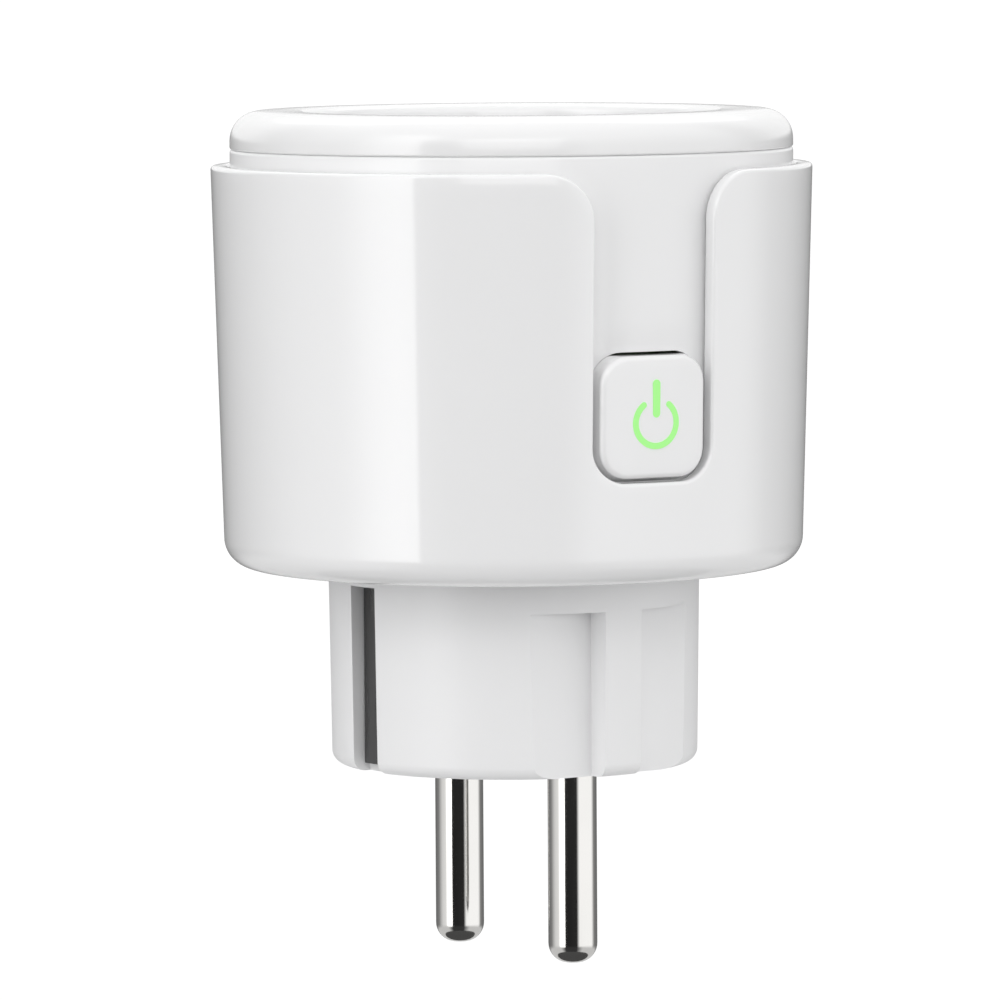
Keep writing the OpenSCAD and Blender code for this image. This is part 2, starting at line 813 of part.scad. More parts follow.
module bulk_capacitors() {
    color("midnightblue") for (y = [-0.6, 8.6])
        translate([-12.6, y, board_top]) cylinder(d = bulk_cap_d, h = bulk_cap_h);
}

module filter_capacitor() {
    color("gold") block([-11.4, -12.6, board_top], [-6.2, -6.2, board_top + 9]);
}

module power_inductor() {
    color("saddlebrown") translate([-17, -9.6, board_top]) {
        cylinder(r = 3.2, h = 0.8);
        cylinder(r = 2.4, h = 6);
        translate([0, 0, 6 - e]) cylinder(r = 3.2, h = 0.8);
    }
}

module varistor() {
    color("steelblue") translate([9, -15.9, board_top + 3.6]) rotate([0, 90, 0]) cylinder(r = 3.6, h = 3);
}

fuse_d = 3.6;

module fuse() {
    color("green") translate([3.4, pin_y + chimney_l / 2 + fuse_d / 2 + 1.4, board_top + fuse_d / 2])
        rotate([0, 90, 0]) cylinder(d = fuse_d, h = 8);
}

module rectifier() {
    color("black") block([-9.4, 15, board_top], [-4.6, 19.6, board_top + 2.4]);
}

module control_chips() {
    color("black") {
        block([-2.4, -3, board_top], [2.4, 3, board_top + 1.5]);
        block([5.4, -2, board_top], [8.6, 2, board_top + 1.2]);
        block([-7.4, -2.4, board_top], [-4.6, 2.4, board_top + 1]);
    }
}

module shunt_resistor() {
    color("sienna") block([6, 5, board_top], [9, 11, board_top + 0.9]);
}

wifi_x = -20.6;

module wifi_board() {
    color("navy") block([wifi_x - small_board_t, -8, board_top], [wifi_x, 8, board_top + 15]);
}

module wifi_shield() {
    color("silver") block([wifi_x, -6, board_top + 4.6], [wifi_x + 2.4, 6, board_top + 14]);
}

module switch_board() {
    color("darkgreen") outwards(switch_r, tact_r)
        translate([-6, board_top]) square([12, carrier_z - board_top - 0.3]);
}

module tact_switch() {
    body = 5.2;
    bore_d = plunger_d + 2 * plunger_gap;
    color("black") difference() {
        outwards(tact_r, tact_r + tact_h) translate([0, stem_z]) square(body, center = true);
        outwards(tact_r + tact_back, tact_r + tact_h + 1) translate([0, stem_z]) circle(d = bore_d);
    }
}

module switch_plunger() {
    color("red") outwards(tact_r + tact_back + button_travel + 0.3, stem_r)
        translate([0, stem_z]) circle(d = plunger_d);
}

module status_lights() {
    color("lime") for (s = [-1, 1])
        outwards(tact_r, tact_r + 0.9) translate([s * 1.6, stem_z + 4.6]) square([1.6, 1.2], center = true);
}

outer_sleeve();
inner_housing();
face_ring();
socket_cup();
plug_base();
button_cap();
button_icon();
live_pin();
neutral_pin();
earth_strip_left();
earth_strip_right();
earth_cross_strap();
earth_tube();
earth_link();
earth_bracket();
shutter_rotor();
shutter_spring();
contact_carrier();
live_contact();
neutral_contact();
live_busbar();
neutral_busbar();
main_board();
insulating_sheet();
board_screws();
carrier_screws();
relay_base();
relay_case();
relay_coil();
relay_yoke();
relay_armature();
bulk_capacitors();
filter_capacitor();
power_inductor();
varistor();
fuse();
rectifier();
control_chips();
shunt_resistor();
wifi_board();
wifi_shield();
switch_board();
tact_switch();
switch_plunger();
status_lights();
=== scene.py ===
import json
import math

import bmesh
import bpy
from mathutils import Matrix, Vector


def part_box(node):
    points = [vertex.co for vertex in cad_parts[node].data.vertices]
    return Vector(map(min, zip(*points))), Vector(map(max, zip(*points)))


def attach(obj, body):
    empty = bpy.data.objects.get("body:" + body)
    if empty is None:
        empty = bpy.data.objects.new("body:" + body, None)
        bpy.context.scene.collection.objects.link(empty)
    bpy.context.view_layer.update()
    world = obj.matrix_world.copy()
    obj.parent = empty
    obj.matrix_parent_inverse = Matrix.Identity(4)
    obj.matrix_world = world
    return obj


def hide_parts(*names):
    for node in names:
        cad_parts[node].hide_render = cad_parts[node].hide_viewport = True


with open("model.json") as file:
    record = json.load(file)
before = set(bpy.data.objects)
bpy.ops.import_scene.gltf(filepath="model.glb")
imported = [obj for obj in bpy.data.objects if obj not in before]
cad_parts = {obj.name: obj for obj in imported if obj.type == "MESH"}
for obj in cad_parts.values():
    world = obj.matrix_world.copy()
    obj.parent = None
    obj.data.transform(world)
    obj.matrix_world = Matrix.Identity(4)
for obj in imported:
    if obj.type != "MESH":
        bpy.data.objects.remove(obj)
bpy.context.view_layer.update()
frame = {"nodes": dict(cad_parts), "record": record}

MM = 0.001

# ---------------------------------------------------------------- sizes, from the frame

sleeve_low, sleeve_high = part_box("outer_sleeve")
ring_low, ring_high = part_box("face_ring")
pin_low, pin_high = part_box("live_pin")
button_low, button_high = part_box("button_cap")

SHOULDER_Z = sleeve_low.z
RIM_Z = sleeve_high.z
SEAM_Z = ring_low.z
TOP_Z = ring_high.z
SLEEVE_TOP_R = sleeve_high.x
SLEEVE_LOW_R = 28.45 * MM
SLEEVE_CORNER = 2.8 * MM
SLEEVE_WALL = 1.8 * MM
SLEEVE_FLOOR = 1.8 * MM
CORNER_Z = SHOULDER_Z + SLEEVE_CORNER
HOLE_R = 18.35 * MM
SLOT_W = 12.8 * MM
SLOT_Z = SHOULDER_Z + 9.8 * MM
SLOT_LOW_R = 3.4 * MM
SLOT_RIM_R = 4.6 * MM
BUTTON_TURN = math.radians(-97.5)
BUTTON_W = SLOT_W - 1.5 * MM
BUTTON_LOW_Z = button_low.z
BUTTON_HIGH_Z = button_high.z
BUTTON_R = 2.8 * MM
BUTTON_SINK = 0.15 * MM
RING_R = ring_high.x
RECESS_R = 19.75 * MM
RING_ROUND = 2.9 * MM
MOUTH_ROUND = 1.0 * MM
SEAM_ROUND = 0.22 * MM
PIN_Y = 9.5 * MM
PIN_R = 2.4 * MM
PIN_LEN = -pin_low.z
PIN_ROUND = 1.9 * MM


def sleeve_r(z):
    """Radius of the sleeve's outer surface at height z."""
    return SLEEVE_LOW_R + (SLEEVE_TOP_R - SLEEVE_LOW_R) * (z - CORNER_Z) / (RIM_Z - CORNER_Z)


# ---------------------------------------------------------------- mesh helpers

def new_object(name, bm, smooth_angle=40):
    """Turns a bmesh into an object with shading that is sharp only past smooth_angle."""
    bmesh.ops.remove_doubles(bm, verts=bm.verts, dist=2e-6)
    bmesh.ops.recalc_face_normals(bm, faces=bm.faces)
    mesh = bpy.data.meshes.new(name)
    bm.to_mesh(mesh)
    bm.free()
    mesh.shade_smooth()
    mesh.set_sharp_from_angle(angle=math.radians(smooth_angle))
    piece = bpy.data.objects.new(name, mesh)
    bpy.context.scene.collection.objects.link(piece)
    return piece


def add_grid(bm, rows):
    """Adds quads between rows of equally many points. Faces whose corners meet become triangles."""
    grid = [[bm.verts.new(p) for p in row] for row in rows]
    for upper, lower in zip(grid, grid[1:]):
        for i in range(len(upper) - 1):
            corners = [upper[i], upper[i + 1], lower[i + 1], lower[i]]
            unique = []
            for v in corners:
                if all((v.co - u.co).length > 1e-7 for u in unique):
                    unique.append(v)
            if len(unique) > 2:
                bm.faces.new(unique)


def rounded(points, steps=8):
    """A polyline's points with rounded corners. Each point is (a, b, radius)."""
    out = []
    for i, (a, b, radius) in enumerate(points):
        here = Vector((a, b))
        if radius == 0 or i in (0, len(points) - 1):
            out.append(here)
            continue
        before = Vector(points[i - 1][:2]) - here
        after = Vector(points[i + 1][:2]) - here
        half = before.angle(after) / 2
        reach = radius / math.tan(half)
        centre = here + (before.normalized() + after.normalized()).normalized() * radius / math.sin(half)
        start = here + before.normalized() * reach - centre
        end = here + after.normalized() * reach - centre
        turn = start.angle_signed(end)
        for k in range(steps + 1):
            c, s = math.cos(-turn * k / steps), math.sin(-turn * k / steps)
            out.append(centre + Vector((start.x * c - start.y * s, start.x * s + start.y * c)))
    return out


def lathe(name, profile, segments=192, smooth_angle=40):
    """Turns a profile of (radius, height) points about the Z axis."""
    bm = bmesh.new()
    rows = []
    for k in range(segments + 1):
        a = 2 * math.pi * (k % segments) / segments
        rows.append([Vector((p[0] * math.cos(a), p[0] * math.sin(a), p[1])) for p in profile])
    add_grid(bm, rows)
    return new_object(name, bm, smooth_angle)


def spread(start, end, count):
    """count + 1 evenly spaced values from start to end."""
    return [start + (end - start) * k / count for k in range(count + 1)]


# ---------------------------------------------------------------- outer sleeve

EDGE = 0.4 * MM
HOLE_EDGE = 0.25 * MM
HOLE_EDGE_MID = 0.07 * MM
SLOT_REACH = SLOT_W / 2 + SLOT_RIM_R + 1.5 * MM
ARC_STEPS = 14
WALL_STEPS = 18
LOW_STEPS = 12
FAR_STEPS = 110


def around_button(r, angle, z):
    """Point at an angle from the button's direction."""
    a = BUTTON_TURN + angle
    return Vector((r * math.cos(a), r * math.sin(a), z))


def sleeve_outline(inset):
    """Stations along the sleeve's upper edge from its back to the slot's middle, inset into the material.

    Each station is (kind, u, t, z): near stations are u across from the slot's middle, and
    far stations are a share t of the way from SLOT_REACH to the back.
    """
    low_z = SLOT_Z + SLOT_LOW_R
    high_z = RIM_Z - SLOT_RIM_R
    stations = [("rim", None, t, RIM_Z - inset) for t in spread(1, 0, FAR_STEPS)]
    for u in spread(SLOT_REACH, SLOT_W / 2 + SLOT_RIM_R, 3)[1:]:
        stations.append(("rim", u, None, RIM_Z - inset))
    centre = SLOT_W / 2 + SLOT_RIM_R
    for a in spread(math.pi / 2, math.pi, ARC_STEPS)[1:]:
        reach = SLOT_RIM_R - inset
        stations.append(("rim", centre + reach * math.cos(a), None, high_z + reach * math.sin(a)))
    for z in spread(high_z, low_z, WALL_STEPS)[1:]:
        stations.append(("wall", SLOT_W / 2 + inset, None, z))
    centre = SLOT_W / 2 - SLOT_LOW_R
    for a in spread(0, -math.pi / 2, ARC_STEPS)[1:]:
        reach = SLOT_LOW_R + inset
        stations.append(("low", centre + reach * math.cos(a), None, low_z + reach * math.sin(a)))
    for u in spread(centre, 0, 5)[1:]:
        stations.append(("low", u, None, SLOT_Z - inset))
    return stations


def sleeve_point(station, z, r, side):
    """Point on a station's column at height z and radius r, on one side of the slot."""
    kind, u, t, top = station
    if u is None:
        near = math.asin(SLOT_REACH / r)
        angle = near + (math.pi - near) * t
    else:
        angle = math.asin(u / r)
    return around_button(r, side * angle, z)


def sleeve_sheet(bm, stations, depth, side):
    """One face of the sleeve's wall, from the bottom corner up to the outline."""
    level = SLOT_Z + SLOT_LOW_R
    beside_slot, under_slot = [], []
    for index, station in enumerate(stations):
        kind, u, t, top = station
        if kind == "rim":
            heights = spread(CORNER_Z, level, LOW_STEPS) + spread(level, top, WALL_STEPS)[1:]
            columns = beside_slot
        elif kind == "low" or stations[index + 1][0] == "low":
            heights = spread(CORNER_Z, top, LOW_STEPS)
            columns = under_slot
        else:
            continue
        columns.append([sleeve_point(station, z, sleeve_r(z) - depth, side) for z in heights])
    add_grid(bm, beside_slot)
    add_grid(bm, under_slot)


def sleeve_bottom(bm, stations, side):
    """The rounded bottom corner, the floor's underside, its hole and its top."""
    low_in = sleeve_r(SHOULDER_Z + SLEEVE_FLOOR) - SLEEVE_WALL
    floor_z = SHOULDER_Z + SLEEVE_FLOOR
    corner_r = SLEEVE_LOW_R - SLEEVE_CORNER
    path = []
    for a in spread(0, math.pi / 2, ARC_STEPS):
        path.append((corner_r + SLEEVE_CORNER * math.cos(a), CORNER_Z - SLEEVE_CORNER * math.sin(a)))
    path += [(r, SHOULDER_Z) for r in spread(corner_r, HOLE_R + HOLE_EDGE, 3)[1:]]
    path.append((HOLE_R + HOLE_EDGE_MID, SHOULDER_Z + HOLE_EDGE_MID))
    path += [(HOLE_R, SHOULDER_Z + HOLE_EDGE), (HOLE_R, floor_z)]
    path += [(low_in, floor_z)]
    path += [(sleeve_r(CORNER_Z) - SLEEVE_WALL, CORNER_Z)]
    columns = []
    for station in stations:
        if station[0] == "wall":
            continue
        columns.append([sleeve_point(station, z, r, side) for r, z in path])
    add_grid(bm, columns)


def sleeve_edge(bm, side):
    """The rounded edge between the outer and inner faces, along the whole outline."""
    steps = 5
    rows = []
    for k in range(steps + 1):
        a = math.pi / 2 * k / steps
        rows.append((EDGE * (1 - math.sin(a)), EDGE * (1 - math.cos(a))))
    for k in range(steps + 1):
        a = math.pi / 2 * k / steps
        rows.append((EDGE * (1 - math.cos(a)), SLEEVE_WALL - EDGE * (1 - math.sin(a))))
    points = []
    for inset, depth in rows:
        stations = sleeve_outline(inset)
        points.append([sleeve_point(s, s[3], sleeve_r(s[3]) - depth, side) for s in stations])
    add_grid(bm, points)


def build_sleeve():
    bm = bmesh.new()
    stations = sleeve_outline(EDGE)
    for side in (1, -1):
        sleeve_sheet(bm, stations, 0, side)
        sleeve_sheet(bm, stations, SLEEVE_WALL, side)
        sleeve_bottom(bm, stations, side)
        sleeve_edge(bm, side)
    return new_object("sleeve_shell", bm, 60)


# ---------------------------------------------------------------- face ring

def build_ring():
    top = TOP_Z
    profile = rounded([
        (RECESS_R, SEAM_Z, 0),
        (RECESS_R, top, MOUTH_ROUND),
        (RING_R, top, RING_ROUND),
        (RING_R, SEAM_Z, SEAM_ROUND),
        (RECESS_R, SEAM_Z, 0),
    ], 12)
    return lathe("ring_shell", profile, 256)


# ---------------------------------------------------------------- button

def button_outline(inset, steps=10):
    """Points round the button's face, across and up, inset from its edge."""
    half_w = BUTTON_W / 2
    half_h = (BUTTON_HIGH_Z - BUTTON_LOW_Z) / 2
    mid = (BUTTON_HIGH_Z + BUTTON_LOW_Z) / 2
    points = []
    for cx, cz, start in ((1, 1, 0), (-1, 1, 90), (-1, -1, 180), (1, -1, 270)):
        for k in range(steps + 1):
            a = math.radians(start + 90 * k / steps)
            reach = BUTTON_R - inset
            points.append((cx * (half_w - BUTTON_R) + reach * math.cos(a),
                           mid + cz * (half_h - BUTTON_R) + reach * math.sin(a)))
    return points


BUTTON_EDGE = 0.55 * MM
BUTTON_BACK = 23.0 * MM
SKIRT_START = 1.3 * MM
SKIRT_END = 1.6 * MM
SKIRT_FLARE = 0.26 * MM


def build_button():
    """The button's cap: a face that follows the sleeve, a rounded edge and walls that flare behind it.

    Each row's point is (across, up, depth), and a depth of None is the cap's flat back.
    """
    mid = (BUTTON_HIGH_Z + BUTTON_LOW_Z) / 2
    bm = bmesh.new()
    rows = []
    face = button_outline(BUTTON_EDGE)
    for share in (0.0, 0.25, 0.5, 0.75, 0.9, 1.0):
        rows.append([(u * share, mid + (z - mid) * share, 0) for u, z in face])
    for k in range(1, 8):
        a = math.pi / 2 * k / 7
        ring = button_outline(BUTTON_EDGE * (1 - math.sin(a)))
        rows.append([(u, z, BUTTON_EDGE * (1 - math.cos(a))) for u, z in ring])
    rows.append([(u, z, SKIRT_START) for u, z in button_outline(0)])
    skirt = [(u, min(z, BUTTON_HIGH_Z)) for u, z in button_outline(-SKIRT_FLARE)]
    rows.append([(u, z, SKIRT_END) for u, z in skirt])
    rows.append([(u, z, None) for u, z in skirt])
    points = []
    for row in rows:
        line = []
        for u, z, depth in row + row[:1]:
            if depth is None:
                x = BUTTON_BACK
            else:
                r = sleeve_r(z) - BUTTON_SINK - depth
                x = math.sqrt(r * r - u * u)
            line.append(Matrix.Rotation(BUTTON_TURN, 3, "Z") @ Vector((x, u, z)))
        points.append(line)
    add_grid(bm, points)
    return new_object("button_shell", bm)


# ---------------------------------------------------------------- power symbol

ICON_LINE = 0.6 * MM
ICON_R = 2.5 * MM
ICON_Z = (BUTTON_HIGH_Z + BUTTON_LOW_Z) / 2 - 0.55 * MM
ICON_GAP = math.radians(38)
ICON_PROUD = 0.03 * MM
ICON_DEPTH = 0.3 * MM
CAP_STEPS = 8


def icon_surface(u, z, lift):
    r = sleeve_r(z) - BUTTON_SINK + lift
    return Matrix.Rotation(BUTTON_TURN, 3, "Z") @ Vector((math.sqrt(r * r - u * u), u, z))


def add_stroke(bm, path, width):
    """A stroke with round ends along a path of (across, up) points, raised from the button's face."""
    half = width / 2
    outline = []
    for side, line in ((1, path), (-1, path[::-1])):
        for i, p in enumerate(line):
            a, b = line[max(i - 1, 0)], line[min(i + 1, len(line) - 1)]
            along = (Vector(b) - Vector(a)).normalized()
            outline.append(Vector(p) + Vector((along.y, -along.x)) * half)
        along = (Vector(line[-1]) - Vector(line[-2])).normalized()
        for k in range(1, CAP_STEPS):
            a = math.pi * k / CAP_STEPS
            c, s = math.cos(a), math.sin(a)
            across = Vector((along.y, -along.x)) * c + along * s
            outline.append(Vector(line[-1]) + across * half * 0.999)
    top, low = [], []
    for q in outline:
        top.append(icon_surface(q.x, q.y, ICON_PROUD))
        low.append(icon_surface(q.x, q.y, -ICON_DEPTH))
    spine = [icon_surface(across, up, ICON_PROUD * 1.3) for across, up in path]
    ends = CAP_STEPS - 1
    centre_line = spine + [spine[-1]] * ends + spine[::-1] + [spine[0]] * ends
    add_grid(bm, [centre_line + centre_line[:1], top + top[:1], low + low[:1]])


def build_icon():
    bm = bmesh.new()
    radius = ICON_R - ICON_LINE / 2
    arc = []
    for a in spread(math.pi / 2 + ICON_GAP, math.pi / 2 + 2 * math.pi - ICON_GAP, 48):
        arc.append((radius * math.cos(a), ICON_Z + radius * math.sin(a)))
    add_stroke(bm, arc, ICON_LINE)
    bar = [(0, ICON_Z + z * MM) for z in spread(0.9, 3.75, 6)]
    add_stroke(bm, bar, ICON_LINE * 1.3)
    return new_object("power_symbol", bm, 50)


# ---------------------------------------------------------------- pins

PIN_SEAT = 0.6 * MM
PIN_NECK_R = PIN_R - 0.3 * MM
COLLAR_LOW_Z = 4.2 * MM
COLLAR_HIGH_Z = COLLAR_LOW_Z + 1.8 * MM
COLLAR_R = PIN_R + 0.8 * MM
TAIL_R = PIN_R - 0.6 * MM


def build_pin(name, side):
    """A turned pin: a rounded tip, a neck in the plug's face, a collar behind it and a tail."""
    top = pin_high.z
    profile = rounded([
        (0, -PIN_LEN, 0),
        (PIN_R, -PIN_LEN, PIN_ROUND),
        (PIN_R, PIN_SEAT, 0),
        (PIN_NECK_R, PIN_SEAT, 0),
        (PIN_NECK_R, COLLAR_LOW_Z, 0),
        (COLLAR_R, COLLAR_LOW_Z, 0),
        (COLLAR_R, COLLAR_HIGH_Z, 0),
        (TAIL_R, COLLAR_HIGH_Z, 0),
        (TAIL_R, top, 0),
        (0, top, 0),
    ], 10)
    piece = lathe(name, profile, 96)
    piece.data.transform(Matrix.Translation((0, side * PIN_Y, 0)))
    return piece


# ---------------------------------------------------------------- materials

def material(name):
    """An empty node material: (material, nodes, links, shader)."""
    mat = bpy.data.materials.new(name)
    mat.use_nodes = True
    nodes, links = mat.node_tree.nodes, mat.node_tree.links
    return mat, nodes, links, nodes["Principled BSDF"]


def noise(nodes, links, scale, detail=4.0, stretch=(1, 1, 1)):
    """Noise in the object's own coordinates, with scale in waves per metre."""
    place = nodes.new("ShaderNodeTexCoord")
    mapping = nodes.new("ShaderNodeMapping")
    mapping.inputs["Scale"].default_value = stretch
    texture = nodes.new("ShaderNodeTexNoise")
    texture.inputs["Scale"].default_value = scale
    texture.inputs["Detail"].default_value = detail
    links.new(place.outputs["Object"], mapping.inputs["Vector"])
    links.new(mapping.outputs["Vector"], texture.inputs["Vector"])
    return texture.outputs["Fac"]


def ranged(nodes, links, value, low, high):
    """value, which lies around 0.5, spread over low to high."""
    step = nodes.new("ShaderNodeMapRange")
    step.inputs["From Min"].default_value = 0.3
    step.inputs["From Max"].default_value = 0.7
    step.inputs["To Min"].default_value = low
    step.inputs["To Max"].default_value = high
    links.new(value, step.inputs["Value"])
    return step.outputs["Result"]


def tinted(nodes, links, value, dark, light):
    """A colour that varies between dark and light."""
    mix = nodes.new("ShaderNodeMix")
    mix.data_type = "RGBA"
    mix.inputs["A"].default_value = (*dark, 1)
    mix.inputs["B"].default_value = (*light, 1)
    links.new(value, mix.inputs["Factor"])
    return mix.outputs["Result"]


def bumped(nodes, links, shader, height, distance, strength=1.0):
    bump = nodes.new("ShaderNodeBump")
    bump.inputs["Distance"].default_value = distance
    bump.inputs["Strength"].default_value = strength
    links.new(height, bump.inputs["Height"])
    links.new(bump.outputs["Normal"], shader.inputs["Normal"])


def moulded_plastic(name, colour, roughness, coat=0.0, coat_roughness=0.05, grain=0.004, light=0.0):
    """Moulded plastic: faint colour drift, uneven gloss and a fine eroded texture. With light set, it emits
    its own colour: a painted glow.
    """
    mat, nodes, links, shader = material(name)
    drift = noise(nodes, links, 90, 3)
    darker = [c * 0.985 for c in colour]
    links.new(tinted(nodes, links, drift, darker, colour), shader.inputs["Base Color"])
    wear = noise(nodes, links, 400, 5)
    links.new(ranged(nodes, links, wear, roughness * 0.93, roughness * 1.07), shader.inputs["Roughness"])
    bumped(nodes, links, shader, noise(nodes, links, 6000, 2), grain * MM, 0.35)
    shader.inputs["Coat Weight"].default_value = coat
    shader.inputs["Coat Roughness"].default_value = coat_roughness
    shader.inputs["Specular IOR Level"].default_value = 0.5
    # Emission paints a glow on the part; no lamp in the scene lights it.
    if light:
        shader.inputs["Emission Color"].default_value = (*colour, 1)
        shader.inputs["Emission Strength"].default_value = light
    return mat


def plated_metal(name, colour, roughness, along=(1, 1, 0.05), grain=0.003):
    """Plated or drawn metal with fine lines along one axis."""
    mat, nodes, links, shader = material(name)
    shader.inputs["Metallic"].default_value = 1.0
    tone = noise(nodes, links, 160, 4)
    darker = [c * 0.93 for c in colour]
    links.new(tinted(nodes, links, tone, darker, colour), shader.inputs["Base Color"])
    lines = noise(nodes, links, 1800, 4, along)
    links.new(ranged(nodes, links, lines, roughness * 0.8, roughness * 1.25), shader.inputs["Roughness"])
    bumped(nodes, links, shader, lines, grain * MM, 0.4)
    return mat


def laminate(name, colour):
    """Board with solder mask over its weave."""
    mat, nodes, links, shader = material(name)
    weave = noise(nodes, links, 1500, 2, (1, 0.3, 1))
    links.new(tinted(nodes, links, weave, [c * 0.8 for c in colour], colour), shader.inputs["Base Color"])
    links.new(ranged(nodes, links, noise(nodes, links, 500, 3), 0.3, 0.42), shader.inputs["Roughness"])
    bumped(nodes, links, shader, weave, 0.01 * MM, 0.4)
    return mat


WHITE = (0.84, 0.84, 0.844)
sleeve_white = moulded_plastic("sleeve_plastic", WHITE, 0.34, 1.0, 0.05)
housing_white = moulded_plastic("housing_plastic", WHITE, 0.36, 0.5, 0.06)
ring_white = moulded_plastic("ring_plastic", (0.82, 0.82, 0.823), 0.25, 0.6, 0.05)
plug_white = moulded_plastic("plug_plastic", (0.83, 0.83, 0.835), 0.42, 0.1, 0.1)
socket_white = moulded_plastic("socket_plastic", (0.84, 0.84, 0.845), 0.4, 0.15, 0.1)
button_white = moulded_plastic("button_plastic", WHITE, 0.34, 0.8, 0.05)
# The power symbol's emission is a painted glow; no lamp in the scene lights it from inside.
symbol_green = moulded_plastic("symbol_painted_glow", (0.21, 0.51, 0.146), 0.4, light=0.9)
nickel = plated_metal("polished_nickel", (0.78, 0.77, 0.75), 0.1)
# The earth contacts get a near-black colour (0.15), far darker than nickel: painted shade for the dark slots
# of the plug they sit in.
painted_shade_nickel = plated_metal("painted_shade_nickel", (0.15, 0.15, 0.15), 0.3)

CLASS_LOOK = {"matte_plastic": 0.55, "gloss_plastic": 0.3}


def slot_material(entry):
    """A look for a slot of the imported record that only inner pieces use."""
    colour = tuple(entry["base_color"][:3])
    kind = entry["class"]
    if "laminate" in entry["finish"]:
        return laminate(entry["slot"] + "_look", colour)
    if kind in CLASS_LOOK:
        return moulded_plastic(entry["slot"] + "_look", colour, CLASS_LOOK[kind], grain=0.006)
    return plated_metal(entry["slot"] + "_look", colour, 0.28)


own_look = {
    "sleeve_white": sleeve_white, "housing_white": housing_white, "ring_white": ring_white,
    "plug_white": plug_white, "socket_white": socket_white, "button_white": button_white,
    "icon_green": symbol_green, "pin_nickel": nickel, "earth_nickel": painted_shade_nickel,
}
slot_of = {part["node"]: part["material_slot"] for part in frame["record"]["subparts"]}
entries = {entry["slot"]: entry for entry in frame["record"]["materials"]}
looks = {slot: own_look.get(slot) or slot_material(entry) for slot, entry in entries.items()}
for name, node in frame["nodes"].items():
    node.data.materials.clear()
    node.data.materials.append(looks[slot_of[name]])


# ---------------------------------------------------------------- pieces in place

def place(piece, node, body, slot):
    """Gives a piece its look and its body, and hides the CAD node it stands for."""
    piece.data.materials.append(looks[slot])
    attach(piece, body)
    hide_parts(node)


place(build_sleeve(), "outer_sleeve", "housing", "sleeve_white")
place(build_ring(), "face_ring", "housing", "ring_white")
place(build_button(), "button_cap", "button", "button_white")
place(build_icon(), "button_icon", "button", "icon_green")
place(build_pin("live_pin_turned", -1), "live_pin", "housing", "pin_nickel")
place(build_pin("neutral_pin_turned", 1), "neutral_pin", "housing", "pin_nickel")


def soften(node, width):
    """Rounds a CAD node's sharp edges with modifiers, leaving its mesh alone."""
    piece = frame["nodes"][node]
    weld = piece.modifiers.new("weld", "WELD")
    weld.merge_threshold = 1e-6
    bevel = piece.modifiers.new("soft_edges", "BEVEL")
    bevel.width = width
    bevel.segments = 3
    bevel.limit_method = "ANGLE"
    bevel.angle_limit = math.radians(35)
    bevel.harden_normals = True
    bevel.miter_outer = "MITER_ARC"


soften("plug_base", 0.25 * MM)
soften("inner_housing", 0.12 * MM)
soften("socket_cup", 0.2 * MM)
soften("earth_bracket", 0.08 * MM)

# ---------------------------------------------------------------- camera

CAMERA_TURN = math.radians(35.864)
CAMERA_REACH = 739.1 * MM
CAMERA_Z = 85.1 * MM
CAMERA_YAW = math.radians(-0.102)
CAMERA_PITCH = math.radians(4.593)
CAMERA_ROLL = math.radians(-0.343)
CAMERA_LENS = 271.42

out = Vector((-math.sin(CAMERA_TURN), -math.cos(CAMERA_TURN), 0))
forward = Matrix.Rotation(-CAMERA_YAW, 3, "Z") @ -out
right = forward.cross(Vector((0, 0, 1))).normalized()
forward = Matrix.Rotation(-CAMERA_PITCH, 3, right) @ forward
up = right.cross(forward)
roll = Matrix.Rotation(-CAMERA_ROLL, 3, forward)
right, up = roll @ right, roll @ up
camera_data = bpy.data.cameras.new("camera")
camera_data.lens = CAMERA_LENS
camera_data.sensor_width = 36
camera_data.clip_end = 20
camera = bpy.data.objects.new("camera", camera_data)
bpy.context.scene.collection.objects.link(camera)
camera.matrix_world = Matrix.Translation(out * CAMERA_REACH + Vector((0, 0, CAMERA_Z))) @ Matrix(
    (right, up, -forward)).transposed().to_4x4()
bpy.context.scene.camera = camera

# ---------------------------------------------------------------- studio

# Pale to the camera and as a bounce, and dark in reflections, so that the pins keep a dark core
FLOOR_Z = -0.6
FLOOR_R = 0.6
floor_bm = bmesh.new()
bmesh.ops.create_circle(floor_bm, cap_ends=True, segments=96, radius=FLOOR_R)
floor_mesh = bpy.data.meshes.new("floor")
floor_bm.to_mesh(floor_mesh)
floor_bm.free()
floor = bpy.data.objects.new("floor", floor_mesh)
floor.location.z = FLOOR_Z
bpy.context.scene.collection.objects.link(floor)
floor_look, floor_nodes, floor_links, floor_shader = material("pale_floor")
floor_shade = floor_nodes.new("ShaderNodeMix")
floor_shade.data_type = "RGBA"
floor_shade.inputs["A"].default_value = (0.9, 0.9, 0.9, 1)
floor_shade.inputs["B"].default_value = (0.05, 0.05, 0.05, 1)
floor_links.new(floor_nodes.new("ShaderNodeLightPath").outputs["Is Glossy Ray"], floor_shade.inputs["Factor"])
floor_links.new(floor_shade.outputs["Result"], floor_shader.inputs["Base Color"])
floor_shader.inputs["Roughness"].default_value = 0.9
floor.data.materials.append(floor_look)

# The room is plain white to the camera. To other rays it is a tent of light that is open round the
# camera. The levels are strengths, and the gap's sides are degrees from the camera's direction.
BACKDROP = 1.05
TENT_LEFT = 1.0
TENT_EDGE = 3.8
TENT_RIGHT = 1.5
TENT_MID = 0.32
TENT_BACK = 0.22
TENT_BACK_HIGH = 1.2
TENT_TOP = 1.25
TENT_LOW = 0.85
GAP_LEFT = -38
GAP_RIGHT = 20
GAP_LEVEL = 0.02
GAP_LOW_LEVEL = 0.05
world = bpy.data.worlds.new("studio")
bpy.context.scene.world = world
world.use_nodes = True
nodes, links = world.node_tree.nodes, world.node_tree.links
backdrop = nodes["Background"]
backdrop.inputs["Color"].default_value = (1, 1, 1, 1)
backdrop.inputs["Strength"].default_value = BACKDROP


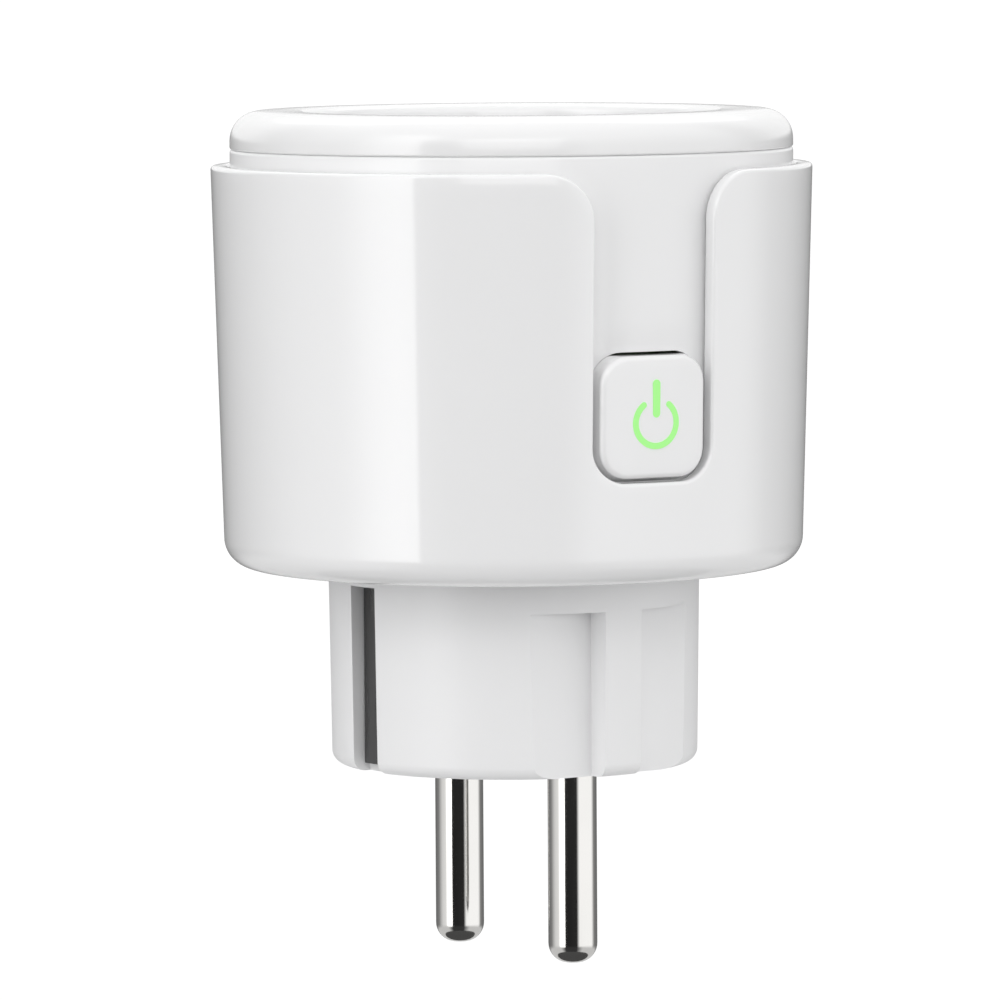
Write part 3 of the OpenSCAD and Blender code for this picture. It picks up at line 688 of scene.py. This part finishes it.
def math_node(operation, first, second=None):
    step = nodes.new("ShaderNodeMath")
    step.operation = operation
    for socket, value in zip(step.inputs, (first, second)):
        if hasattr(value, "links"):
            links.new(value, socket)
        elif value is not None:
            socket.default_value = value
    return step.outputs[0]


def along(vector, axis):
    step = nodes.new("ShaderNodeVectorMath")
    step.operation = "DOT_PRODUCT"
    step.inputs[1].default_value = axis
    links.new(vector, step.inputs[0])
    return step.outputs["Value"]


def eased(value, low, high):
    """0 below low, 1 above high."""
    step = nodes.new("ShaderNodeMapRange")
    step.interpolation_type = "SMOOTHSTEP"
    step.inputs["From Min"].default_value = low
    step.inputs["From Max"].default_value = high
    links.new(value, step.inputs["Value"])
    return step.outputs["Result"]


def ramp(value, stops):
    """A level that follows stops of (degrees, level). The value is the turn, with 0.5 at the camera."""
    step = nodes.new("ShaderNodeValToRGB")
    while len(step.color_ramp.elements) < len(stops):
        step.color_ramp.elements.new(0.5)
    for element, (position, level) in zip(step.color_ramp.elements, stops):
        element.position = (position / 180 + 1) / 2
        element.color = (level, level, level, 1)
    links.new(value, step.inputs["Fac"])
    return step.outputs["Color"]


def blend(first, second, share):
    """first, and second where share is 1."""
    rest = math_node("SUBTRACT", 1, share)
    return math_node("ADD", math_node("MULTIPLY", first, rest), math_node("MULTIPLY", second, share))


room_way = nodes.new("ShaderNodeTexCoord").outputs["Generated"]
height = along(room_way, (0, 0, 1))
turn = math_node("ARCTAN2", along(room_way, out.cross(Vector((0, 0, -1)))), along(room_way, out))
turn = math_node("ADD", math_node("DIVIDE", turn, 2 * math.pi), 0.5)
front = [(-90, TENT_LEFT), (-70, TENT_LEFT * 1.15), (-56, TENT_EDGE * 0.75), (-43, TENT_EDGE)]
front += [(GAP_LEFT, TENT_EDGE), (GAP_LEFT + 8, TENT_LEFT), (10, TENT_RIGHT), (100, TENT_RIGHT)]
sides = ramp(turn, [(-145, TENT_BACK), (-118, TENT_MID)] + front + [(118, TENT_MID), (145, TENT_BACK)])
gap = ramp(turn, [(GAP_LEFT, 1), (GAP_LEFT + 1, GAP_LEVEL), (GAP_RIGHT, GAP_LEVEL), (GAP_RIGHT + 12, 1)])
gap = blend(gap, 1, eased(math_node("ABSOLUTE", height), 0.35, 0.5))
behind = ramp(turn, [(-135, 1), (-110, 0), (110, 0), (135, 1)])
behind = math_node("MULTIPLY", behind, eased(height, 0.0, 0.06))
level = blend(math_node("MULTIPLY", sides, gap), TENT_BACK_HIGH, behind)
level = blend(level, TENT_TOP, eased(height, 0.6, 0.8))
low = ramp(turn, [(-60, TENT_LOW), (GAP_LEFT, GAP_LOW_LEVEL), (GAP_RIGHT, GAP_LOW_LEVEL), (50, TENT_LOW)])
level = blend(low, level, eased(height, -0.4, -0.2))
room = nodes.new("ShaderNodeBackground")
links.new(level, room.inputs["Strength"])
ray = nodes.new("ShaderNodeLightPath")
either = nodes.new("ShaderNodeMixShader")
links.new(ray.outputs["Is Camera Ray"], either.inputs["Fac"])
links.new(room.outputs["Background"], either.inputs[1])
links.new(backdrop.outputs["Background"], either.inputs[2])
links.new(either.outputs["Shader"], nodes["World Output"].inputs["Surface"])
bpy.context.scene.view_settings.view_transform = "Standard"


def softbox(name, turn, height, distance, size, radiance):
    """An area light aimed at the object. The turn is from the camera's direction, leftwards in degrees."""
    data = bpy.data.lights.new(name, "AREA")
    data.shape = "RECTANGLE"
    data.size, data.size_y = size
    data.energy = radiance * math.pi * size[0] * size[1]
    lamp = bpy.data.objects.new(name, data)
    bpy.context.scene.collection.objects.link(lamp)
    lamp.visible_camera = False
    side = Matrix.Rotation(math.radians(-turn), 3, "Z") @ out
    lamp.location = side * distance + Vector((0, 0, height))
    lamp.rotation_euler = (lamp.location - Vector((0, 0, 0.03))).to_track_quat("Z", "Y").to_euler()


softbox("front_mid", 0, 0.3, 0.8, (0.6, 0.5), 1.75)
softbox("back_top", 180, 0.7, 0.5, (0.9, 0.5), 0.9)
